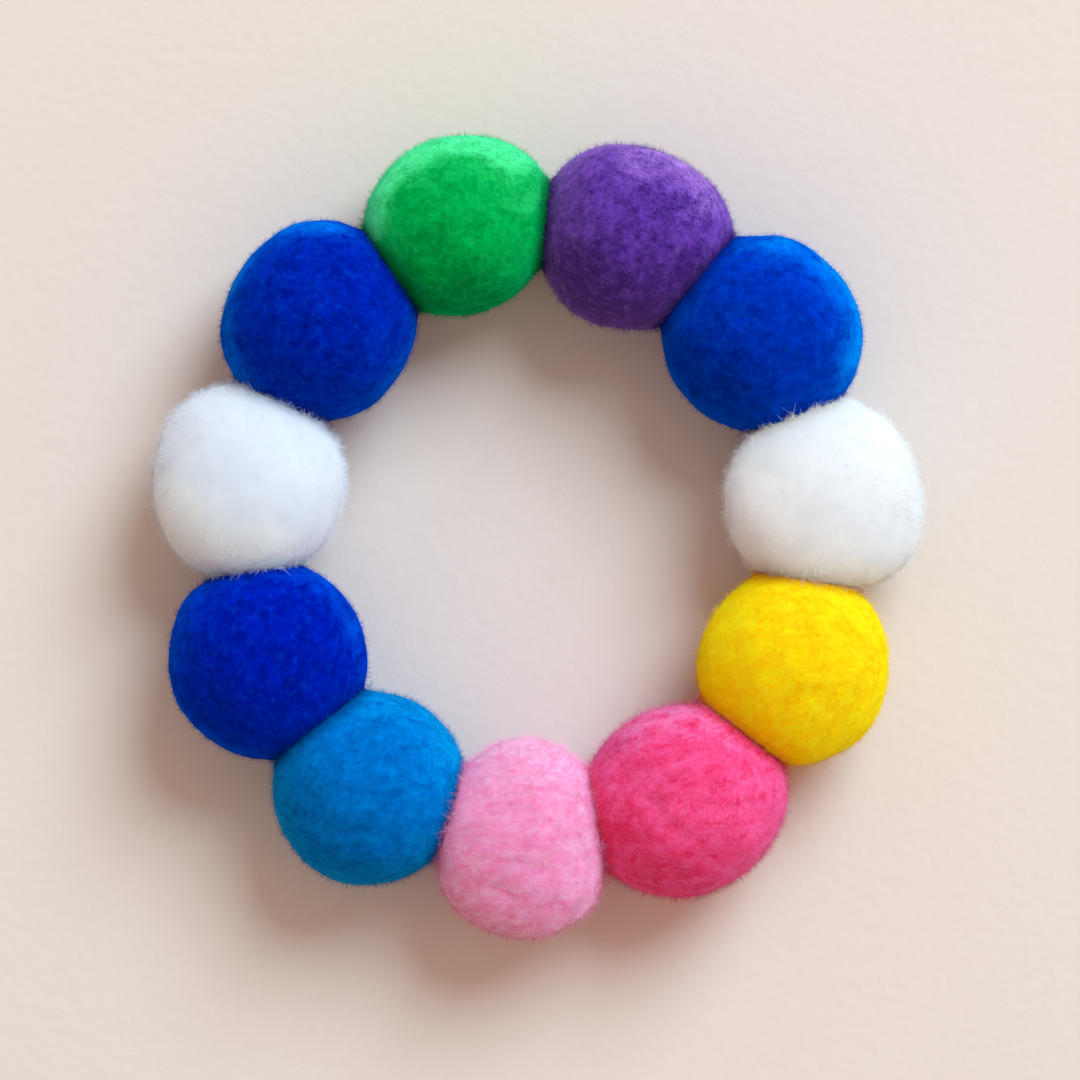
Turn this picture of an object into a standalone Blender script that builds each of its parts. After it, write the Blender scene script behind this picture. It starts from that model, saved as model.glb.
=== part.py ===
"""A closed ring of eleven felted yarn pompoms, pressed together and lying flat.

Lengths in the tables are in millimetres and angles in degrees. The object is in metres, +Z is up,
and its origin is on the surface that it lies on, under the middle of the ring. Seen from above,
the pompoms follow each other clockwise, and each touches the next one.
"""
import math
from collections import namedtuple

import bmesh
import bpy
from mathutils import Matrix, Vector, noise

MM = 0.001
# Points closer to a cut than this count as on it
WELD = 0.001

OBJECT_NAME = "pompom_ring"

# Every pompom starts as an icosphere this fine
SPHERE_SUBDIVISIONS = 4

# Air between two pompoms that touch
CONTACT_GAP = 0.34
# How roundly a pressed side turns into the free surface
CONTACT_SOFTNESS = 1.3
# The contact's bow is measured this far from its middle, which is this high
BOW_REACH = 6.0
CONTACT_HEIGHT = 12.1

# A pompom's own weight flattens a small spot under it: how far a round ball would reach below
# the surface, how much of that is cut off level, and how roundly the spot turns into the ball
FOOT_DEPTH = 0.55
FOOT_CUT = 0.15
FOOT_SOFTNESS = 0.5

# Felted wool is never an even ball: broad lumps with smaller ones on them
LUMP_SIZE = 7.5
LUMP_HEIGHT = 0.42
TUFT_SIZE = 3.4
TUFT_HEIGHT = 0.22
# Part of the ball's half height over which the lumps die out towards its foot
LUMP_FADE = 0.15

# Centre in plan, then the free size outwards from the ring, along the ring and upwards.
# Flare widens the outer side of the pompom along the ring and narrows the inner side.
Pompom = namedtuple("Pompom", "name x y outward along tall flare colour")
POMPOMS = [
    Pompom("pompom_green", -10.7, 40.9, 23.4, 25.6, 23.8, 0.00, (0.004, 0.345, 0.065)),
    Pompom("pompom_purple", 12.8, 39.4, 24.6, 26.0, 24.8, 0.02, (0.100, 0.030, 0.300)),
    Pompom("pompom_blue_right", 29.3, 26.6, 25.6, 26.4, 25.2, 0.00, (0.001, 0.028, 0.400)),
    Pompom("pompom_white_right", 37.1, 5.5, 25.4, 26.0, 24.6, 0.02, (0.840, 0.840, 0.860)),
    Pompom("pompom_yellow", 33.5, -17.3, 25.0, 26.0, 24.8, 0.00, (0.960, 0.640, 0.008)),
    Pompom("pompom_hot_pink", 19.4, -34.6, 24.8, 27.4, 25.0, 0.02, (0.880, 0.060, 0.210)),
    Pompom("pompom_light_pink", -1.9, -39.6, 26.0, 23.4, 24.4, 0.08, (0.930, 0.290, 0.530)),
    Pompom("pompom_sky_blue", -22.2, -33.0, 24.8, 25.6, 24.8, 0.00, (0.002, 0.140, 0.520)),
    Pompom("pompom_blue_lower", -35.5, -16.2, 26.0, 26.2, 25.0, 0.00, (0.001, 0.013, 0.370)),
    Pompom("pompom_white_left", -38.0, 7.4, 24.8, 26.2, 24.6, 0.00, (0.760, 0.800, 0.890)),
    Pompom("pompom_blue_upper", -28.8, 28.3, 25.2, 26.4, 25.4, 0.00, (0.001, 0.018, 0.360)),
]

# Where each pompom meets the next one: share of the way between their centres, how far the
# contact is turned anticlockwise, and how far the first one bulges into the second
Contact = namedtuple("Contact", "first share turn bow")
CONTACTS = [
    Contact("pompom_green", 0.495, -2, 0.3),
    Contact("pompom_purple", 0.46, -2, -0.4),
    Contact("pompom_blue_right", 0.53, 0, 0.1),
    Contact("pompom_white_right", 0.49, 0, -0.1),
    Contact("pompom_yellow", 0.47, 2, 0.0),
    Contact("pompom_hot_pink", 0.55, -5, -0.4),
    Contact("pompom_light_pink", 0.47, 3, 0.0),
    Contact("pompom_sky_blue", 0.49, 0, -0.3),
    Contact("pompom_blue_lower", 0.495, 3, 0.2),
    Contact("pompom_white_left", 0.47, -2, 0.0),
    Contact("pompom_blue_upper", 0.525, -1, 0.3),
]

# Bulges and hollows seen on single pompoms: compass direction in plan from +X towards +Y,
# height above the equator, rise of the surface and how wide the bulge is
Bulge = namedtuple("Bulge", "name bearing height rise width")
BULGES = [
    Bulge("pompom_green", 35, 0, 0.9, 28),
    Bulge("pompom_green", 150, 0, -0.5, 35),
    Bulge("pompom_green", 250, 55, 0.4, 28),
    Bulge("pompom_purple", 60, 0, -0.8, 35),
    Bulge("pompom_purple", 130, 0, 0.5, 25),
    Bulge("pompom_purple", 215, 0, 0.5, 25),
    Bulge("pompom_purple", 20, 60, -0.4, 26),
    Bulge("pompom_blue_right", -20, 0, 0.5, 25),
    Bulge("pompom_white_right", -35, 0, 1.7, 26),
    Bulge("pompom_white_right", 155, 0, -0.4, 25),
    Bulge("pompom_white_right", 40, 50, 0.5, 30),
    Bulge("pompom_yellow", 85, 0, 0.4, 30),
    Bulge("pompom_hot_pink", 160, 0, 0.5, 30),
    Bulge("pompom_hot_pink", 5, 0, -0.4, 30),
    Bulge("pompom_hot_pink", 280, 55, 0.4, 26),
    Bulge("pompom_sky_blue", 30, 0, 0.6, 28),
    Bulge("pompom_sky_blue", 180, 0, -0.4, 28),
    Bulge("pompom_sky_blue", 240, 0, 0.5, 28),
    Bulge("pompom_sky_blue", 90, 65, -0.4, 26),
    Bulge("pompom_blue_lower", 125, 0, 0.4, 30),
    Bulge("pompom_white_left", 140, 0, 0.5, 24),
    Bulge("pompom_white_left", 232, 0, 0.8, 24),
    Bulge("pompom_blue_upper", 150, 0, -0.6, 28),
    Bulge("pompom_blue_upper", 100, 0, 0.6, 26),
    Bulge("pompom_blue_upper", 300, 0, 0.3, 30),
]


def outward_direction(pompom):
    """Unit vector in plan from the middle of the ring through the pompom."""
    return Vector((pompom.x, pompom.y, 0)).normalized()


def free_radius(pompom, ray):
    """Distance from the pompom's centre to its unpressed surface along a unit ray."""
    out_axis = outward_direction(pompom)
    along_axis = Vector((-out_axis.y, out_axis.x, 0))
    out_part = ray.dot(out_axis)
    along_part = ray.dot(along_axis) / (1 + pompom.flare * out_part)
    shares = (out_part / pompom.outward, along_part / pompom.along, ray.z / pompom.tall)
    return 0.5 / math.hypot(*shares)


def bulge_rise(pompom, ray):
    """Height that the pompom's own bulges add to its surface along a unit ray."""
    rise = 0.0
    for bulge in BULGES:
        if bulge.name == pompom.name:
            bearing = math.radians(bulge.bearing)
            height = math.radians(bulge.height)
            flat = math.cos(height)
            top = Vector((flat * math.cos(bearing), flat * math.sin(bearing), math.sin(height)))
            angle = math.degrees(ray.angle(top))
            rise += bulge.rise * math.exp(-((angle / bulge.width) ** 2))
    return rise


def lump_rise(pompom, ray, radius):
    """Uneven felt: broad lumps and smaller tufts, different on every pompom, none on the foot."""
    place = Vector((pompom.x, pompom.y, 0)) + ray * radius
    broad = noise.noise(place / LUMP_SIZE)
    small = noise.noise(place / TUFT_SIZE)
    fade = min((1 + ray.z) / LUMP_FADE, 1)
    return fade * (LUMP_HEIGHT * broad + TUFT_HEIGHT * small)


def soft_minimum(value, limit, softness):
    """The smaller of two lengths, rounded where they meet and never above either."""
    overlap = max(softness - abs(value - limit), 0) / softness
    return min(value, limit) - overlap * overlap * softness / 4


def contact_after(index):
    """Middle, direction towards the next pompom, and bow of the contact that follows a pompom."""
    first = POMPOMS[index]
    second = POMPOMS[(index + 1) % len(POMPOMS)]
    contact = CONTACTS[index]
    start = Vector((first.x, first.y, CONTACT_HEIGHT))
    span = Vector((second.x, second.y, CONTACT_HEIGHT)) - start
    normal = Matrix.Rotation(math.radians(contact.turn), 3, "Z") @ span.normalized()
    return start + contact.share * span, normal, contact.bow


def press(point, middle, normal, bow):
    """Moves a point of a pompom back to its side of the curved contact with a neighbour."""
    offset = point - middle
    reach = offset.dot(normal)
    aside = (offset - reach * normal).length
    limit = bow * (1 - (aside / BOW_REACH) ** 2) - CONTACT_GAP / 2
    return point + (soft_minimum(reach, limit, CONTACT_SOFTNESS) - reach) * normal


def shape_point(index, ray):
    """Place of the surface point that a unit ray from the pompom's centre meets."""
    pompom = POMPOMS[index]
    centre = Vector((pompom.x, pompom.y, pompom.tall / 2 - FOOT_DEPTH))
    radius = free_radius(pompom, ray) + bulge_rise(pompom, ray)
    radius += lump_rise(pompom, ray, radius)
    point = centre + ray * radius
    middle, normal, bow = contact_after(index)
    point = press(point, middle, normal, bow)
    middle, normal, bow = contact_after(index - 1)
    point = press(point, middle, -normal, -bow)
    point.z = -soft_minimum(-point.z, FOOT_CUT, FOOT_SOFTNESS)
    return point


def cut_foot(mesh_data):
    """Cuts the pompom off level with the surface that it lies on and closes the cut."""
    everything = mesh_data.verts[:] + mesh_data.edges[:] + mesh_data.faces[:]
    cut = bmesh.ops.bisect_plane(
        mesh_data, geom=everything, dist=WELD * MM, plane_co=(0, 0, 0), plane_no=(0, 0, -1), clear_outer=True)
    rim = [part for part in cut["geom_cut"] if isinstance(part, bmesh.types.BMEdge)]
    bmesh.ops.edgeloop_fill(mesh_data, edges=rim)
    bmesh.ops.recalc_face_normals(mesh_data, faces=mesh_data.faces[:])


def make_material(pompom):
    """Matt, slightly fluffy yarn in the pompom's colour."""
    material = bpy.data.materials.new(pompom.name.replace("pompom", "yarn"))
    material.use_nodes = True
    shader = material.node_tree.nodes["Principled BSDF"]
    shader.inputs["Base Color"].default_value = (*pompom.colour, 1)
    shader.inputs["Roughness"].default_value = 0.95
    shader.inputs["Metallic"].default_value = 0
    shader.inputs["Sheen Weight"].default_value = 0.4
    return material


def make_pompom(index, collection):
    """One pompom: a sphere grown to its own size, pressed by its neighbours and its weight."""
    pompom = POMPOMS[index]
    ball = bmesh.new()
    bmesh.ops.create_icosphere(ball, subdivisions=SPHERE_SUBDIVISIONS, radius=1)
    for vert in ball.verts:
        vert.co = shape_point(index, vert.co.normalized()) * MM
    cut_foot(ball)
    mesh = bpy.data.meshes.new(pompom.name)
    ball.to_mesh(mesh)
    ball.free()
    mesh.shade_smooth()
    mesh.materials.append(make_material(pompom))
    collection.objects.link(bpy.data.objects.new(pompom.name, mesh))


def main():
    for old in list(bpy.data.objects):
        bpy.data.objects.remove(old, do_unlink=True)
    collection = bpy.data.collections.new(OBJECT_NAME)
    bpy.context.scene.collection.children.link(collection)
    for index in range(len(POMPOMS)):
        make_pompom(index, collection)


main()
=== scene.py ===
"""Dresses the ring of felted yarn pompoms: brushed nap on each ball, soft light, floor, camera."""
import math
from collections import namedtuple
import bpy
import numpy as np
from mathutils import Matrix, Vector
from mathutils.bvhtree import BVHTree


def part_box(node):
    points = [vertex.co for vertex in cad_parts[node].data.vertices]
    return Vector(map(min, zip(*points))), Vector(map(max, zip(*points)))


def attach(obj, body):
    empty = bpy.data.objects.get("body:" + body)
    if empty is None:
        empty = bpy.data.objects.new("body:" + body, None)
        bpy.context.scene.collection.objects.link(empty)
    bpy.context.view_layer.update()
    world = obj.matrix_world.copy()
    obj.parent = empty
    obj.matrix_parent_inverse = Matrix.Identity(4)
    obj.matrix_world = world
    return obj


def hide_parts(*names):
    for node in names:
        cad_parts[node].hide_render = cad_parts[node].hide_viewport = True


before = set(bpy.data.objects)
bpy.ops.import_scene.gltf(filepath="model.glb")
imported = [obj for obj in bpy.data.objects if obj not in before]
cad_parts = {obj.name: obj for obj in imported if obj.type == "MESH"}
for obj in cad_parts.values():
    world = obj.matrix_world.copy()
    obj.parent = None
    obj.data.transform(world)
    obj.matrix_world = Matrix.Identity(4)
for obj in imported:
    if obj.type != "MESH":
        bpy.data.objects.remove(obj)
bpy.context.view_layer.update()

MM = 0.001

# The felt swells a little past the solid that it replaces
FELT_SWELL = 0.12
# Lowest that anything reaches above the surface that the ring lies on
LIFT = 0.02

# Two balls that nearly touch: each closes this share of the gap between them, all of it up to the
# first gap and none of it past the second. Where the gap is under the last, no nap grows.
MEET_SHARE = 0.48
MEET_FULL = 0.5
MEET_END = 1.8
BURIED = 0.13
# Gap up to which painted shade in the crease between two balls shows in their colour
CREASE_SHADE_END = 2.8

# The relief of the felt: noise size and height
Relief = namedtuple("Relief", "size height")
RELIEFS = [Relief(2.8, 0.13), Relief(1.3, 0.09)]

# Kinds of fibre: how many on a ball, length and its spread, width, how far it leans over from
# upright and by how much that varies, how far it bends on from there, how far its upper half turns
# aside, and whether it has a bend or is a plain spike. Angles are in degrees.
Fibre = namedtuple("Fibre", "name count length spread wide lean sway bow twist bent")
FIBRES = [
    Fibre("nap", 16500, 0.90, 0.28, 0.045, 32, 22, 0, 0, False),
    Fibre("matted", 1500, 1.00, 0.35, 0.070, 68, 12, 18, 60, True),
]
# A fibre is flatter than it is wide
FIBRE_FLATNESS = 0.40
# How deep in the felt its root is, the size of the swirls in which fibres lie the same way, and how
# much a single fibre strays from them
ROOT_DEPTH = 0.05
SWIRL_SIZE = 3.0
SWIRL_STRAY = 0.8
# How much more nap there is where two balls meet
FRINGE_DENSITY = 1.5

# The bake map of a ball holds its upper and its lower half as two discs: their middles and radius,
# and where the points of a fibre lie round its root, so that no face of it is without width
DISCS = [(0.292, 0.292), (0.708, 0.708)]
DISC_RADIUS = 0.27
FIBRE_STAR = 0.0015 * np.array([(-1.0, -0.8), (1.0, -0.8), (0.0, 1.2), (0.0, 0.1), (0.1, -0.2)])

# A yarn's colours as linear light: the felt deep between the fibres, which is also the colour of
# painted shade, the fibres, their palest tips, which are also the colour of painted light, the
# painted shade in the crease where two balls meet, tinted by the light from the neighbour, and
# the gloss of the nap
Yarn = namedtuple("Yarn", "node slot felt fibre pale crease gloss")
YARNS = [
    Yarn("pompom_green", "green_yarn", (0.000, 0.220, 0.034), (0.001, 0.560, 0.116),
         (0.080, 0.820, 0.310), (0.000, 0.040, 0.012), (0.010, 1.000, 0.430)),
    Yarn("pompom_purple", "purple_yarn", (0.050, 0.010, 0.180), (0.170, 0.052, 0.470),
         (0.390, 0.190, 0.660), (0.012, 0.002, 0.060), (0.700, 0.480, 1.000)),
    Yarn("pompom_blue_right", "royal_blue_yarn", (0.000, 0.009, 0.250), (0.000, 0.044, 0.600),
         (0.000, 0.200, 0.850), (0.000, 0.006, 0.100), (0.000, 0.330, 1.000)),
    Yarn("pompom_white_right", "white_yarn", (0.780, 0.790, 0.820), (0.825, 0.835, 0.865),
         (1.000, 0.990, 0.980), (1.000, 0.800, 0.500), (1.000, 1.000, 1.000)),
    Yarn("pompom_yellow", "yellow_yarn", (1.000, 0.520, 0.001), (1.000, 0.790, 0.007),
         (1.000, 0.860, 0.050), (1.000, 0.380, 0.008), (1.000, 0.850, 0.150)),
    Yarn("pompom_hot_pink", "hot_pink_yarn", (0.800, 0.026, 0.135), (0.990, 0.140, 0.410),
         (1.000, 0.270, 0.560), (0.850, 0.030, 0.060), (1.000, 0.350, 0.600)),
    Yarn("pompom_light_pink", "light_pink_yarn", (0.998, 0.245, 0.510), (1.000, 0.465, 0.710),
         (1.000, 0.545, 0.780), (0.960, 0.180, 0.400), (1.000, 0.650, 0.850)),
    Yarn("pompom_sky_blue", "sky_blue_yarn", (0.000, 0.098, 0.390), (0.000, 0.245, 0.730),
         (0.000, 0.390, 0.880), (0.000, 0.030, 0.140), (0.030, 0.600, 1.000)),
    Yarn("pompom_blue_lower", "royal_blue_yarn", (0.000, 0.003, 0.240), (0.000, 0.013, 0.540),
         (0.000, 0.110, 0.800), (0.000, 0.004, 0.100), (0.000, 0.240, 1.000)),
    Yarn("pompom_white_left", "white_yarn", (0.715, 0.770, 0.890), (0.765, 0.820, 0.940),
         (0.850, 0.910, 1.000), (0.560, 0.680, 0.920), (1.000, 1.000, 1.000)),
    Yarn("pompom_blue_upper", "royal_blue_yarn", (0.000, 0.003, 0.220), (0.000, 0.020, 0.530),
         (0.000, 0.170, 0.840), (0.000, 0.004, 0.090), (0.000, 0.280, 1.000)),
]

# How the wool of each ball behaves: how strong the gloss of its nap is, how much its colour is
# mottled, along which axes its strands are short, how strongly painted shade, tinted by the light
# from the neighbour, colours the crease at a neighbour, how many millimetres light spreads inside
# and the share of that for red, green and blue, how rough the felt is, how dense and how long the
# nap is, how much longer where it reaches over a neighbour, how far its shading leans up to the
# light that gets through the nap, and the seed of its random numbers
Wool = namedtuple(
    "Wool", "node sheen mottle short crease scatter reach rough dense pile fringe uplight seed")
WOOLS = [
    Wool("pompom_green", 0.40, 0.8, (1.0, 1.0, 1.0), 0.9, 0.3, (0.2, 1.0, 0.4), 0.8,
         0.85, 0.80, 0.7, 0.10, 1),
    Wool("pompom_purple", 0.45, 1.4, (1.0, 1.0, 1.0), 0.8, 0.4, (0.6, 0.4, 1.0), 1.0,
         0.85, 0.85, 0.8, 0.10, 2),
    Wool("pompom_blue_right", 0.45, 1.0, (0.9, 0.9, 0.9), 0.6, 0.5, (0.2, 0.4, 1.0), 0.6,
         0.80, 0.70, 0.6, 0.10, 3),
    Wool("pompom_white_right", 0.20, 0.3, (1.0, 1.0, 1.0), 0.4, 12.0, (1.0, 1.0, 1.0), 0.1,
         1.45, 1.00, 0.6, 0.90, 4),
    Wool("pompom_yellow", 0.15, 1.1, (0.9, 1.1, 1.0), 0.8, 2.0, (1.0, 0.4, 0.1), 0.5,
         0.90, 0.90, 0.7, 0.60, 5),
    Wool("pompom_hot_pink", 0.35, 1.15, (0.8, 1.0, 0.9), 0.7, 2.0, (1.0, 0.2, 0.4), 0.8,
         1.10, 1.10, 0.8, 0.20, 6),
    Wool("pompom_light_pink", 0.15, 1.2, (0.7, 1.3, 1.1), 0.6, 2.0, (1.0, 0.4, 0.6), 0.7,
         1.30, 1.20, 0.8, 0.80, 7),
    Wool("pompom_sky_blue", 0.35, 0.95, (0.8, 1.1, 1.0), 0.8, 0.8, (0.2, 0.5, 1.0), 0.7,
         0.90, 0.90, 0.9, 0.10, 8),
    Wool("pompom_blue_lower", 0.45, 1.15, (1.0, 0.8, 0.9), 0.6, 1.0, (0.2, 0.3, 1.0), 0.6,
         0.80, 0.70, 0.6, 0.10, 9),
    Wool("pompom_white_left", 0.20, 0.3, (1.0, 1.0, 1.0), 0.6, 12.0, (1.0, 1.0, 1.0), 0.1,
         1.45, 1.10, 0.6, 0.90, 10),
    Wool("pompom_blue_upper", 0.45, 1.0, (0.9, 0.9, 0.9), 0.6, 1.0, (0.2, 0.3, 1.0), 0.6,
         0.80, 0.70, 0.6, 0.10, 11),
]

# Dimples and creases that show from above: place in plan, how far the crease is turned, half its
# length and half its width, and its depth. Lengths in millimetres, angle in degrees.
Crease = namedtuple("Crease", "node x y turn long wide deep")
CREASES = [
    Crease("pompom_green", -8.9, 38.9, 10, 0.9, 0.8, 0.9),
    Crease("pompom_green", -7.0, 39.9, 5, 1.6, 0.4, 0.35),
    Crease("pompom_green", -14.2, 36.6, -35, 3.0, 1.2, 0.3),
    Crease("pompom_purple", 12.2, 38.0, 10, 2.4, 1.0, 0.45),
    Crease("pompom_purple", 17.6, 35.2, 48, 3.2, 0.7, 0.5),
    Crease("pompom_purple", 9.0, 44.5, -20, 2.0, 0.8, 0.3),
    Crease("pompom_blue_right", 27.0, 28.0, 25, 2.2, 0.9, 0.35),
    Crease("pompom_blue_right", 31.5, 23.5, -30, 2.6, 0.8, 0.35),
    Crease("pompom_yellow", 31.6, -11.6, -8, 4.5, 0.8, 0.35),
    Crease("pompom_yellow", 35.0, -20.6, 15, 2.6, 1.0, 0.25),
    Crease("pompom_hot_pink", 15.4, -34.6, -40, 1.6, 0.7, 0.6),
    Crease("pompom_hot_pink", 21.8, -34.4, -5, 2.4, 0.4, 0.35),
    Crease("pompom_hot_pink", 18.5, -38.4, -25, 2.8, 0.6, 0.4),
    Crease("pompom_hot_pink", 18.8, -43.8, 10, 1.6, 0.6, 0.35),
    Crease("pompom_light_pink", -2.6, -42.2, -8, 2.8, 0.55, 0.5),
    Crease("pompom_light_pink", -4.4, -46.1, -20, 2.6, 0.5, 0.45),
    Crease("pompom_light_pink", 0.8, -48.2, 15, 2.4, 0.5, 0.4),
    Crease("pompom_light_pink", -0.4, -34.2, 80, 1.8, 0.6, 0.25),
    Crease("pompom_sky_blue", -22.5, -28.4, 85, 2.6, 0.5, 0.45),
    Crease("pompom_sky_blue", -24.0, -32.6, 65, 2.2, 0.6, 0.35),
    Crease("pompom_sky_blue", -25.2, -38.4, -8, 4.0, 0.45, 0.40),
    Crease("pompom_sky_blue", -24.2, -40.2, 5, 4.4, 0.45, 0.35),
    Crease("pompom_blue_lower", -36.5, -14.6, -25, 2.4, 0.9, 0.4),
    Crease("pompom_blue_lower", -33.0, -19.6, 20, 2.6, 0.7, 0.35),
    Crease("pompom_blue_upper", -29.8, 27.0, 15, 2.6, 1.0, 0.45),
    Crease("pompom_blue_upper", -25.6, 30.6, -45, 2.2, 0.8, 0.35),
    Crease("pompom_blue_upper", -31.5, 32.0, 60, 1.8, 0.8, 0.35),
]

# Where painted light makes a ball's nap pale, on its lit side, along its rims and on the shaded side
# of the white balls, or painted shade makes it dark where the strength is below zero: from one compass
# direction in plan round to another, counted in degrees from +X towards +Y, how many millimetres in
# from the edge of the ball it reaches, and how strongly
Bloom = namedtuple("Bloom", "node start end reach strength")
PAINTED_LIGHTS = [
    Bloom("pompom_green", 30, 200, 2.6, 1.0),
    Bloom("pompom_green", -10, 150, 8.0, 0.4),
    Bloom("pompom_green", 110, 210, 4.0, 0.5),
    Bloom("pompom_green", 190, 320, 9.0, -0.8),
    Bloom("pompom_purple", 0, 120, 7.0, 0.7),
    Bloom("pompom_purple", 180, 350, 8.0, -1.0),
    Bloom("pompom_blue_right", -40, 110, 6.0, 0.5),
    Bloom("pompom_blue_right", -90, 310, 2.6, 0.4),
    Bloom("pompom_blue_right", 170, 280, 8.0, -0.5),
    Bloom("pompom_white_right", 150, 310, 9.0, 1.0),
    Bloom("pompom_yellow", 80, 130, 3.0, -0.6),
    Bloom("pompom_yellow", 165, 285, 6.0, -1.0),
    Bloom("pompom_hot_pink", 40, 150, 4.0, 0.6),
    Bloom("pompom_hot_pink", 170, 300, 7.0, -0.5),
    Bloom("pompom_light_pink", 40, 170, 4.0, 0.4),
    Bloom("pompom_sky_blue", -20, 110, 5.0, 0.5),
    Bloom("pompom_sky_blue", 170, 320, 7.0, -0.4),
    Bloom("pompom_blue_lower", 0, 90, 4.0, 0.2),
    Bloom("pompom_blue_lower", -90, 310, 2.4, 0.4),
    Bloom("pompom_white_left", 170, 320, 9.0, 1.0),
    Bloom("pompom_blue_upper", 60, 240, 3.0, 0.4),
    Bloom("pompom_blue_upper", -90, 310, 2.4, 0.35),
]
# A zone of painted light or shade fades at its two ends over this many degrees, keeps its strength
# over this share of its reach, and breaks up down the side of the ball into patches of this size
PAINTED_LIGHT_FADE = 20
PAINTED_LIGHT_FULL = 0.4
PATCH_SIZE = 7.0
# How much paler one fibre in four may be than its zone, for a yarn that is mottled in full
STRAY_PALE = 0.5

# The picture: how wide it is at the height of the balls' middles, and the place under its centre
VIEW_WIDTH = 142
VIEW_HEIGHT = 12
VIEW_MIDDLE = (0.26, -0.46)


def only(obj):
    """Makes one object the selected and active one."""
    bpy.ops.object.select_all(action="DESELECT")
    obj.select_set(True)
    bpy.context.view_layer.objects.active = obj


def apply_modifier(obj, name, kind, **settings):
    """Adds a modifier with these settings and applies it."""
    only(obj)
    modifier = obj.modifiers.new(name, kind)
    for key, value in settings.items():
        setattr(modifier, key, value)
    bpy.ops.object.modifier_apply(modifier=modifier.name)


def felt_relief(obj, relief, name, share):
    """Raises and lowers the felt by soft noise of one size."""
    noise = bpy.data.textures.new(name, "CLOUDS")
    noise.noise_scale = relief.size * MM
    noise.noise_depth = 1
    noise.noise_basis = "ORIGINAL_PERLIN"
    apply_modifier(obj, name, "DISPLACE", texture=noise, texture_coords="LOCAL",
                   strength=2 * share * relief.height * MM, mid_level=0.5)


def add_attribute(mesh, name, values):
    """Keeps a number for each point of a mesh, which a material reads by this name."""
    attribute = mesh.attributes.new(name, "FLOAT", "POINT")
    attribute.data.foreach_set("value", np.asarray(values, dtype=np.float32))


def make_body(yarn):
    """The body of a pompom: the solid's own form, closed, smooth and a little swollen."""
    mesh = bpy.data.objects[yarn.node].data.copy()
    felt = bpy.data.objects.new(yarn.node.replace("pompom", "felt"), mesh)
    bpy.context.scene.collection.objects.link(felt)
    only(felt)
    bpy.ops.object.mode_set(mode="EDIT")
    bpy.ops.mesh.select_all(action="SELECT")
    bpy.ops.mesh.remove_doubles(threshold=0.00001)
    bpy.ops.object.mode_set(mode="OBJECT")
    apply_modifier(felt, "round", "SUBSURF", levels=1, render_levels=1)
    apply_modifier(felt, "swell", "DISPLACE", strength=FELT_SWELL * MM, mid_level=0)
    return felt


def gaps_around(felt, others):
    """For each vertex of a ball, the gap to the nearest other ball in millimetres."""
    graph = bpy.context.evaluated_depsgraph_get()
    trees = [BVHTree.FromObject(other, graph) for other in others]
    gaps = np.full(len(felt.data.vertices), 2 * MEET_END)
    for index, vert in enumerate(felt.data.vertices):
        for tree in trees:
            gap = tree.find_nearest(vert.co, 2 * MEET_END * MM)[3]
            if gap is not None:
                gaps[index] = min(gaps[index], gap / MM)
    return gaps


def nearness(gaps, end=MEET_END):
    """How close to a neighbour a place is: 1 where the balls meet, 0 where they are apart."""
    share = np.clip((end - gaps) / (end - MEET_FULL), 0, 1)
    return share * share * (3 - 2 * share)


def crease_depth(wool, places, normals):
    """How deep the ball's dimples and creases are at each place on it, from above only."""
    depth = np.zeros(len(places))
    for crease in CREASES:
        if crease.node == wool.node:
            turn = math.radians(crease.turn)
            east, north = places[:, 0] / MM - crease.x, places[:, 1] / MM - crease.y
            along = east * math.cos(turn) + north * math.sin(turn)
            across = north * math.cos(turn) - east * math.sin(turn)
            fall = np.exp(-((along / crease.long) ** 2) - (across / crease.wide) ** 2)
            depth += crease.deep * fall * np.clip(3 * normals[:, 2], 0, 1)
    return depth * MM


def painted_light_share(wool, places, facing):
    """How strongly painted light, or painted shade where it is below zero, lies on the wool at each
    place on the ball.
    """
    share = np.zeros(len(places))
    low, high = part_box(wool.node)
    centre = (np.array(low) + np.array(high)) / 2
    size = (high[0] - low[0] + high[1] - low[1]) / 4
    offset = places - centre
    inward = (size - np.hypot(offset[:, 0], offset[:, 1])) / MM
    bearing = np.degrees(np.arctan2(offset[:, 1], offset[:, 0]))
    for bloom in PAINTED_LIGHTS:
        if bloom.node == wool.node:
            middle, half = (bloom.start + bloom.end) / 2, (bloom.end - bloom.start) / 2
            aside = np.abs((bearing - middle + 180) % 360 - 180)
            fade = np.clip((half - aside) / PAINTED_LIGHT_FADE, 0, 1)
            share += bloom.strength * fade * np.clip(1 + PAINTED_LIGHT_FULL - inward / bloom.reach, 0, 1)
    # The patches show from the side and hardly from above, and a zone dies out low on the ball
    patches = smooth_field(np.random.default_rng(wool.seed), places, PATCH_SIZE * MM)
    patches *= np.clip(0.8 - 1.2 * facing[:, 2], 0.1, 1)
    share *= np.clip(1 + 0.5 * patches, 0.2, 1.3)
    return np.clip(share, -1, 1) * np.clip(0.8 + facing[:, 2], 0, 1) ** 2


def disc_place(wool, places, upper):
    """Where places on a ball lie on its bake map, true in area, seen from its upper or lower pole."""
    low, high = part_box(wool.node)
    offset = unit(places - (np.array(low) + np.array(high)) / 2)
    from_pole = np.sqrt(np.maximum(1 - np.where(upper, offset[:, 2], -offset[:, 2]), 0))
    middle = np.where(upper[:, None], DISCS[0], DISCS[1])
    return middle + DISC_RADIUS * from_pole[:, None] * unit(offset[:, :2])


def add_bake_map(mesh, corners):
    """Gives a mesh the UV map that its colours are baked on, from a place for each face corner."""
    layer = mesh.uv_layers.new(name="OFBake")
    layer.data.foreach_set("uv", np.asarray(corners, dtype=np.float32).ravel())


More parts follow.
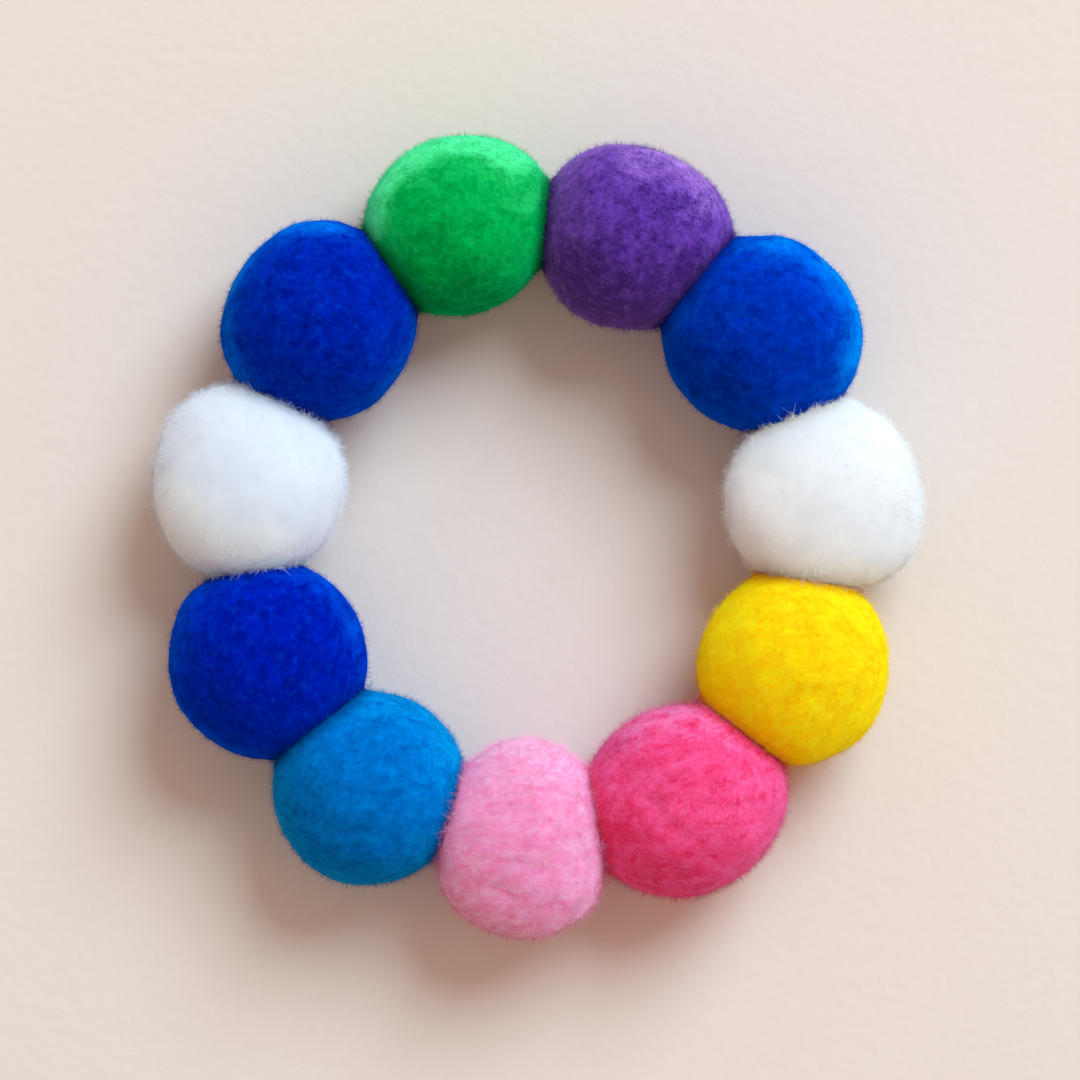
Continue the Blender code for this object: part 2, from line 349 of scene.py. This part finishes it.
def map_felt(wool, mesh):
    """Lays the ball's faces out on its bake map, each whole on one of the two discs."""
    sides = mesh_numbers(mesh.polygons, "loop_total", 1)[:, 0].astype(int)
    middles = mesh_numbers(mesh.polygons, "center", 3)
    low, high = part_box(wool.node)
    upper = np.repeat(middles[:, 2] > (low[2] + high[2]) / 2, sides)
    corners = mesh_numbers(mesh.loops, "vertex_index", 1)[:, 0].astype(int)
    places = mesh_numbers(mesh.vertices, "co", 3)
    add_bake_map(mesh, disc_place(wool, places[corners], upper))


def finish_felt(wool, felt, gaps):
    """Paints light and shade on the ball's felt, presses it against its neighbours', creases and
    roughens it.
    """
    normals = mesh_numbers(felt.data.vertices, "normal", 3)
    places = mesh_numbers(felt.data.vertices, "co", 3)
    # Painted light, and painted shade where it is below zero
    add_attribute(felt.data, "bloom", painted_light_share(wool, places, normals))
    # Painted shade, tinted by the light from the neighbour, in the crease beside it
    add_attribute(felt.data, "seam", wool.crease * nearness(gaps, CREASE_SHADE_END))
    places += normals * (MEET_SHARE * gaps * nearness(gaps) * MM)[:, None]
    places -= normals * crease_depth(wool, places, normals)[:, None]
    felt.data.vertices.foreach_set("co", places.ravel())
    felt.data.update()
    for step, relief in enumerate(RELIEFS):
        felt_relief(felt, relief, f"{wool.node} relief {step}", wool.rough)
    for vert in felt.data.vertices:
        vert.co.z = max(vert.co.z, LIFT * MM)
    felt.data.shade_smooth()
    map_felt(wool, felt.data)
    facing = mesh_numbers(felt.data.vertices, "normal", 3)
    felt.data.normals_split_custom_set_from_vertices(lifted(wool, facing, gaps))


def lifted(wool, facing, gaps):
    """Normals that lean up, for the light that gets into the nap from above."""
    lift = wool.uplight + nearness(gaps)
    return unit(facing + lift[:, None] * np.array([0, 0, 1]))


def smooth_field(draw, points, size, waves=16):
    """A smooth random number for each point, with lumps of about this size."""
    along = draw.normal(size=(waves, 3))
    along *= 2 * math.pi / size / np.linalg.norm(along, axis=1)[:, None]
    along *= draw.uniform(0.6, 1.4, (waves, 1))
    phase = draw.uniform(0, 2 * math.pi, waves)
    return np.sin(points @ along.T + phase).sum(1) * math.sqrt(2 / waves)


def unit(vectors):
    """The same directions, each with a length of one."""
    return vectors / np.maximum(np.linalg.norm(vectors, axis=1), 1e-12)[:, None]


def mesh_numbers(items, name, width):
    """One property of all the points, faces or corners of a mesh, a row for each."""
    found = np.empty(len(items) * width)
    items.foreach_get(name, found)
    return found.reshape(-1, width)


def surface_points(draw, mesh, gaps, count):
    """Random places on a mesh, even by area but for the buried parts: place, normal, gap."""
    mesh.calc_loop_triangles()
    corners = mesh_numbers(mesh.loop_triangles, "vertices", 3).astype(int)
    places = mesh_numbers(mesh.vertices, "co", 3)
    normals = mesh_numbers(mesh.vertex_normals, "vector", 3)
    first, second, third = (places[corners[:, i]] for i in range(3))
    area = np.linalg.norm(np.cross(second - first, third - first), axis=1)
    gap = gaps[corners].max(1)
    area *= (gap > BURIED) * (1 + FRINGE_DENSITY * nearness(gap))
    chosen = draw.choice(len(corners), count, p=area / area.sum())
    share = draw.uniform(0, 1, (count, 2))
    share = np.where(share.sum(1, keepdims=True) > 1, 1 - share, share)
    weights = np.column_stack([1 - share.sum(1), share])
    spots = (places[corners[chosen]] * weights[:, :, None]).sum(1)
    facing = unit((normals[corners[chosen]] * weights[:, :, None]).sum(1))
    return spots, facing, (gaps[corners[chosen]] * weights).sum(1)


def fibre_path(draw, kind, spots, facing, stretch):
    """Root, middle and tip of each fibre, which leans over the felt and bends towards it."""
    count = len(spots)
    flow = np.column_stack([smooth_field(draw, spots, SWIRL_SIZE * MM) for _ in range(3)])
    flow += SWIRL_STRAY * draw.normal(size=flow.shape)
    along = unit(flow - (flow * facing).sum(1)[:, None] * facing)
    across = np.cross(facing, along)
    spread = np.exp(kind.spread * draw.normal(size=(count, 1)))
    half = kind.length / 2 * MM * spread * stretch[:, None]
    lean = np.radians(kind.lean + kind.sway * draw.normal(size=(count, 1)))
    twist = np.radians(kind.twist * draw.normal(size=(count, 1)))
    low = np.cos(lean) * facing + np.sin(lean) * along
    turned = np.cos(twist) * along + np.sin(twist) * across
    lean = lean + math.radians(kind.bow)
    high = np.cos(lean) * facing + np.sin(lean) * turned
    root = spots - ROOT_DEPTH * MM * facing
    middle = root + half * low
    return root, middle, middle + half * high


def fibre_rows(draw, kind, spots, facing, stretch):
    """Points, faces and heights of closed, flat, three-sided fibres of one kind."""
    count = len(spots)
    root, middle, tip = fibre_path(draw, kind, spots, facing, stretch)
    aside = unit(np.cross(facing, tip - root))
    above = unit(np.cross(tip - root, aside))
    half = kind.wide * MM / 2 * draw.uniform(0.7, 1.3, (count, 1))
    belt = middle if kind.bent else root
    low = belt - 0.5 * FIBRE_FLATNESS * half * above
    rows = [low - half * aside, low + half * aside, belt + FIBRE_FLATNESS * half * above, tip]
    faces = [(0, 1, 3), (1, 2, 3), (2, 0, 3)]
    heights = [0.9 if kind.bent else 0.2] * 3 + [1.0]
    if kind.bent:
        rows.append(root)
        heights.append(0.3)
        faces += [(1, 0, 4), (2, 1, 4), (0, 2, 4)]
    else:
        faces.append((0, 2, 1))
    return np.stack(rows, 1), np.array(faces), np.array(heights)


# All the fibres of one kind on a ball, with a row for each point, but for the faces
Growth = namedtuple("Growth", "points faces normals bloom seam height on_map")


def grow_fibres(draw, wool, felt, gaps, kind):
    """One kind of fibre all over a ball, shaded like the felt that it stands on."""
    spots, facing, gap = surface_points(draw, felt.data, gaps, int(kind.count * wool.dense))
    stretch = wool.pile * (1 + wool.fringe * nearness(gap))
    rows, pattern, levels = fibre_rows(draw, kind, spots, facing, stretch)
    rows[:, :, 2] = np.maximum(rows[:, :, 2], LIFT * MM)
    count, width = rows.shape[:2]
    # Painted light and shade from the zones, with random pale flecks on one fibre in four
    bloom = painted_light_share(wool, spots, facing) * draw.uniform(0.4, 1.3, count)
    bloom += STRAY_PALE * np.maximum(draw.uniform(-3, 1, count), 0) * min(wool.mottle, 1)
    low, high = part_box(wool.node)
    on_disc = disc_place(wool, spots, spots[:, 2] > (low[2] + high[2]) / 2)
    # Each fibre carries the painted shade of the crease beside a neighbour too
    return Growth(
        rows.reshape(-1, 3),
        (np.arange(count)[:, None, None] * width + pattern).reshape(-1, 3),
        np.repeat(lifted(wool, facing, gap), width, axis=0),
        np.repeat(np.minimum(bloom, 1), width),
        np.repeat(wool.crease * nearness(gap, CREASE_SHADE_END), width),
        np.tile(levels, count),
        (on_disc[:, None] + FIBRE_STAR[:width]).reshape(-1, 2))


def triangle_mesh(name, points, corners):
    """A mesh from its points and the three corners of each of its faces."""
    mesh = bpy.data.meshes.new(name)
    mesh.vertices.add(len(points))
    mesh.vertices.foreach_set("co", points.ravel())
    mesh.loops.add(corners.size)
    mesh.loops.foreach_set("vertex_index", corners.ravel().astype(np.int32))
    mesh.polygons.add(len(corners))
    mesh.polygons.foreach_set("loop_start", np.arange(0, corners.size, 3, dtype=np.int32))
    mesh.update(calc_edges=True)
    return mesh


def make_nap(wool, felt, gaps):
    """All the fibres of a ball as one piece."""
    draw = np.random.default_rng(wool.seed)
    growths = [grow_fibres(draw, wool, felt, gaps, kind) for kind in FIBRES]
    starts = np.cumsum([0] + [len(growth.points) for growth in growths[:-1]])
    corners = np.concatenate([start + growth.faces for start, growth in zip(starts, growths)])
    whole = Growth(*(np.concatenate(parts) for parts in zip(*growths)))
    mesh = triangle_mesh(wool.node.replace("pompom", "nap"), whole.points, corners)
    add_attribute(mesh, "bloom", whole.bloom)
    add_bake_map(mesh, whole.on_map[corners.ravel()])
    add_attribute(mesh, "seam", whole.seam)
    add_attribute(mesh, "fibre_height", whole.height)
    mesh.shade_smooth()
    mesh.normals_split_custom_set_from_vertices(whole.normals)
    nap = bpy.data.objects.new(mesh.name, mesh)
    bpy.context.scene.collection.objects.link(nap)
    return nap


def socket(group, name, kind, way):
    """Adds an input or output to a node group."""
    return group.interface.new_socket(name=name, in_out=way, socket_type=kind)


def wool_tone_group():
    """Node group: the wool's mottled colour with its painted light and shade, and fine relief, from a
    place on the ball.
    """
    group = bpy.data.node_groups.new("wool tone", "ShaderNodeTree")
    socket(group, "Place", "NodeSocketVector", "INPUT")
    for name in ("Felt", "Fibre", "Pale", "Crease"):
        socket(group, name, "NodeSocketColor", "INPUT")
    for name in ("Mottle", "Bloom", "Seam", "Height"):
        socket(group, name, "NodeSocketFloat", "INPUT")
    socket(group, "Colour", "NodeSocketColor", "OUTPUT")
    socket(group, "Relief", "NodeSocketFloat", "OUTPUT")
    nodes, links = group.nodes, group.links
    given = nodes.new("NodeGroupInput")
    result = nodes.new("NodeGroupOutput")

    def noise(kind, size_mm, detail, rough, swirl):
        node = nodes.new("ShaderNodeTexNoise")
        node.noise_type = kind
        node.inputs["Scale"].default_value = 1 / (size_mm * MM)
        node.inputs["Detail"].default_value = detail
        node.inputs["Roughness"].default_value = rough
        node.inputs["Distortion"].default_value = swirl
        links.new(given.outputs["Place"], node.inputs["Vector"])
        return node.outputs["Fac"]

    def math_node(operation, first, second):
        node = nodes.new("ShaderNodeMath")
        node.operation = operation
        for slot, value in zip(node.inputs, (first, second)):
            if isinstance(value, (int, float)):
                slot.default_value = value
            else:
                links.new(value, slot)
        return node.outputs[0]

    def ramp(value, low, high):
        node = nodes.new("ShaderNodeMapRange")
        node.inputs["From Min"].default_value = low
        node.inputs["From Max"].default_value = high
        links.new(value, node.inputs["Value"])
        return node.outputs["Result"]

    def mix(factor, first, second):
        node = nodes.new("ShaderNodeMix")
        node.data_type = "RGBA"
        links.new(factor, node.inputs[0])
        links.new(first, node.inputs[6])
        links.new(second, node.inputs[7])
        return node.outputs[2]

    # Broad clouds, fine strands and grain, less darker pits in between as painted shade of dents in
    # the pile, make the pattern of the wool
    cloud = ramp(noise("FBM", 2.2, 2, 0.6, 0.6), 0.34, 0.66)
    strand = ramp(noise("RIDGED_MULTIFRACTAL", 0.9, 1, 0.6, 1.0), 0.6, 1.7)
    fine = ramp(noise("FBM", 0.50, 2, 0.6, 0.6), 0.32, 0.68)
    lump = noise("FBM", 1.0, 2, 0.6, 0.5)
    painted_pit_shade = ramp(lump, 0.52, 0.70)
    fleck = ramp(lump, 0.44, 0.30)
    pattern = math_node("ADD", math_node("MULTIPLY", cloud, 0.40), math_node("MULTIPLY", strand, 0.25))
    pattern = math_node("ADD", pattern, math_node("MULTIPLY", fine, 0.35))
    pattern = math_node("SUBTRACT", pattern, math_node("MULTIPLY", painted_pit_shade, 0.30))
    uneven = math_node("SUBTRACT", pattern, 0.45)
    # From the felt's colour to the fibres', more of those towards the fibre tips as painted light on
    # the tips and painted shade at the roots, and less of those where painted shade lies on the wool
    cover = math_node("ADD", math_node("MULTIPLY", uneven, given.outputs["Mottle"]), 0.6)
    cover = math_node("ADD", cover, math_node("MULTIPLY", given.outputs["Height"], 0.15))
    matted = math_node("MINIMUM", given.outputs["Bloom"], 0.0)
    cover = math_node("ADD", cover, math_node("MULTIPLY", matted, 0.42))
    colour = mix(cover, given.outputs["Felt"], given.outputs["Fibre"])
    # Pale tips where painted light lies, with a ragged edge to each zone of it, and small random pale
    # flecks elsewhere
    painted_lit = math_node("MAXIMUM", given.outputs["Bloom"], 0.0)
    painted_light_and_flecks = math_node("ADD", painted_lit, math_node("MULTIPLY", uneven, given.outputs["Mottle"]))
    painted_light_and_flecks = math_node("MULTIPLY", ramp(painted_light_and_flecks, 0.1, 1.1), painted_lit)
    fleck = math_node("MULTIPLY", fleck, math_node("MULTIPLY", given.outputs["Mottle"], 0.12))
    painted_light_and_flecks = math_node("MAXIMUM", painted_light_and_flecks, fleck)
    colour = mix(painted_light_and_flecks, colour, given.outputs["Pale"])
    # Painted shade, tinted by the light from the neighbour, in the crease beside a neighbour, which
    # the tips stand out of
    risen = math_node("MULTIPLY", given.outputs["Height"], 0.2)
    crease_shade_share = math_node("SUBTRACT", given.outputs["Seam"], risen)
    colour = mix(crease_shade_share, colour, given.outputs["Crease"])
    links.new(colour, result.inputs["Colour"])
    links.new(fine, result.inputs["Relief"])
    return group


def wool_material(yarn, wool, group, finish, scatter):
    """Matt brushed wool: the yarn's colour mottled by the group, with painted light and shade, and a
    soft sheen.
    """
    material = bpy.data.materials.new(yarn.node.replace("pompom", finish))
    material.use_nodes = True
    nodes, links = material.node_tree.nodes, material.node_tree.links
    shader = nodes["Principled BSDF"]
    place = nodes.new("ShaderNodeTexCoord")
    tone = nodes.new("ShaderNodeGroup")
    tone.node_tree = group
    strands = nodes.new("ShaderNodeMapping")
    strands.inputs["Scale"].default_value = wool.short
    links.new(place.outputs["Object"], strands.inputs["Vector"])
    links.new(strands.outputs["Vector"], tone.inputs["Place"])
    colours = {"Felt": yarn.felt, "Fibre": yarn.fibre, "Pale": yarn.pale, "Crease": yarn.crease}
    for name, colour in colours.items():
        tone.inputs[name].default_value = (*colour, 1)
    tone.inputs["Mottle"].default_value = wool.mottle
    for name, attribute in (("Bloom", "bloom"), ("Seam", "seam"), ("Height", "fibre_height")):
        reader = nodes.new("ShaderNodeAttribute")
        reader.attribute_name = attribute
        links.new(reader.outputs["Fac"], tone.inputs[name])
    links.new(tone.outputs["Colour"], shader.inputs["Base Color"])
    bump = nodes.new("ShaderNodeBump")
    bump.inputs["Strength"].default_value = 0.6 * wool.rough
    bump.inputs["Distance"].default_value = 0.08 * MM
    links.new(tone.outputs["Relief"], bump.inputs["Height"])
    links.new(bump.outputs["Normal"], shader.inputs["Normal"])
    shader.inputs["Roughness"].default_value = 0.95
    shader.inputs["Specular IOR Level"].default_value = 0.0
    shader.inputs["Subsurface Weight"].default_value = scatter
    shader.inputs["Subsurface Radius"].default_value = wool.reach
    shader.inputs["Subsurface Scale"].default_value = wool.scatter * MM
    shader.inputs["Diffuse Roughness"].default_value = 0.0
    shader.inputs["Sheen Weight"].default_value = wool.sheen
    shader.inputs["Sheen Roughness"].default_value = 0.5
    shader.inputs["Sheen Tint"].default_value = (*yarn.gloss, 1)
    return material


def make_floor():
    """A pale cream surface with a faint plaster grain."""
    bpy.ops.mesh.primitive_plane_add(size=4, location=(0, 0, 0))
    floor = bpy.context.object
    floor.name = "floor"
    material = bpy.data.materials.new("cream plaster")
    material.use_nodes = True
    nodes, links = material.node_tree.nodes, material.node_tree.links
    shader = nodes["Principled BSDF"]
    place = nodes.new("ShaderNodeTexCoord")
    grain = nodes.new("ShaderNodeTexNoise")
    grain.inputs["Scale"].default_value = 500
    grain.inputs["Detail"].default_value = 4
    links.new(place.outputs["Object"], grain.inputs["Vector"])
    bump = nodes.new("ShaderNodeBump")
    bump.inputs["Strength"].default_value = 0.25
    bump.inputs["Distance"].default_value = 0.3 * MM
    links.new(grain.outputs["Fac"], bump.inputs["Height"])
    links.new(bump.outputs["Normal"], shader.inputs["Normal"])
    shader.inputs["Base Color"].default_value = (0.763, 0.668, 0.616, 1)
    shader.inputs["Roughness"].default_value = 0.9
    shader.inputs["Specular IOR Level"].default_value = 0.1
    floor.data.materials.append(material)


def area_light(name, place, size, power, colour):
    """A round lamp of this width, turned to the ring."""
    data = bpy.data.lights.new(name, "AREA")
    data.shape = "DISK"
    data.size = size
    data.energy = power
    data.color = colour
    light = bpy.data.objects.new(name, data)
    light.location = place
    light.rotation_euler = (-Vector(place)).to_track_quat("-Z", "Y").to_euler()
    bpy.context.scene.collection.objects.link(light)


def make_light():
    """One big soft window at the upper right and an even, warm room."""
    area_light("window", (0.98, 1.42, 1.72), 1.5, 67.5, (0.655, 0.87, 0.99))
    world = bpy.data.worlds.new("room")
    world.use_nodes = True
    background = world.node_tree.nodes["Background"]
    background.inputs["Color"].default_value = (1.0, 0.75, 0.59, 1)
    background.inputs["Strength"].default_value = 0.60
    bpy.context.scene.world = world
    bpy.context.scene.view_settings.view_transform = "Standard"


def make_camera():
    """Straight down from high up, framing the ring as the photograph does."""
    data = bpy.data.cameras.new("camera")
    data.sensor_width = 36
    data.lens = 200
    camera = bpy.data.objects.new("camera", data)
    distance = VIEW_WIDTH * MM * data.lens / data.sensor_width
    camera.location = (VIEW_MIDDLE[0] * MM, VIEW_MIDDLE[1] * MM, VIEW_HEIGHT * MM + distance)
    camera.rotation_euler = (0, 0, 0)
    data.clip_start = 0.01
    bpy.context.scene.collection.objects.link(camera)
    bpy.context.scene.camera = camera


def main():
    """Sets the stage, then makes the felt and the nap of each ball."""
    make_camera()
    make_light()
    make_floor()
    group = wool_tone_group()
    felts = [make_body(yarn) for yarn in YARNS]
    count = len(YARNS)
    gaps = [gaps_around(felts[i], (felts[i - 1], felts[(i + 1) % count])) for i in range(count)]
    for yarn, wool, felt, gap in zip(YARNS, WOOLS, felts, gaps):
        finish_felt(wool, felt, gap)
        nap = make_nap(wool, felt, gap)
        for piece, finish, scatter in ((felt, "felted", 1.0), (nap, "brushed", 0.0)):
            piece.data.materials.clear()
            piece.data.materials.append(wool_material(yarn, wool, group, finish, scatter))
            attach(piece, "root")
        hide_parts(yarn.node)


main()
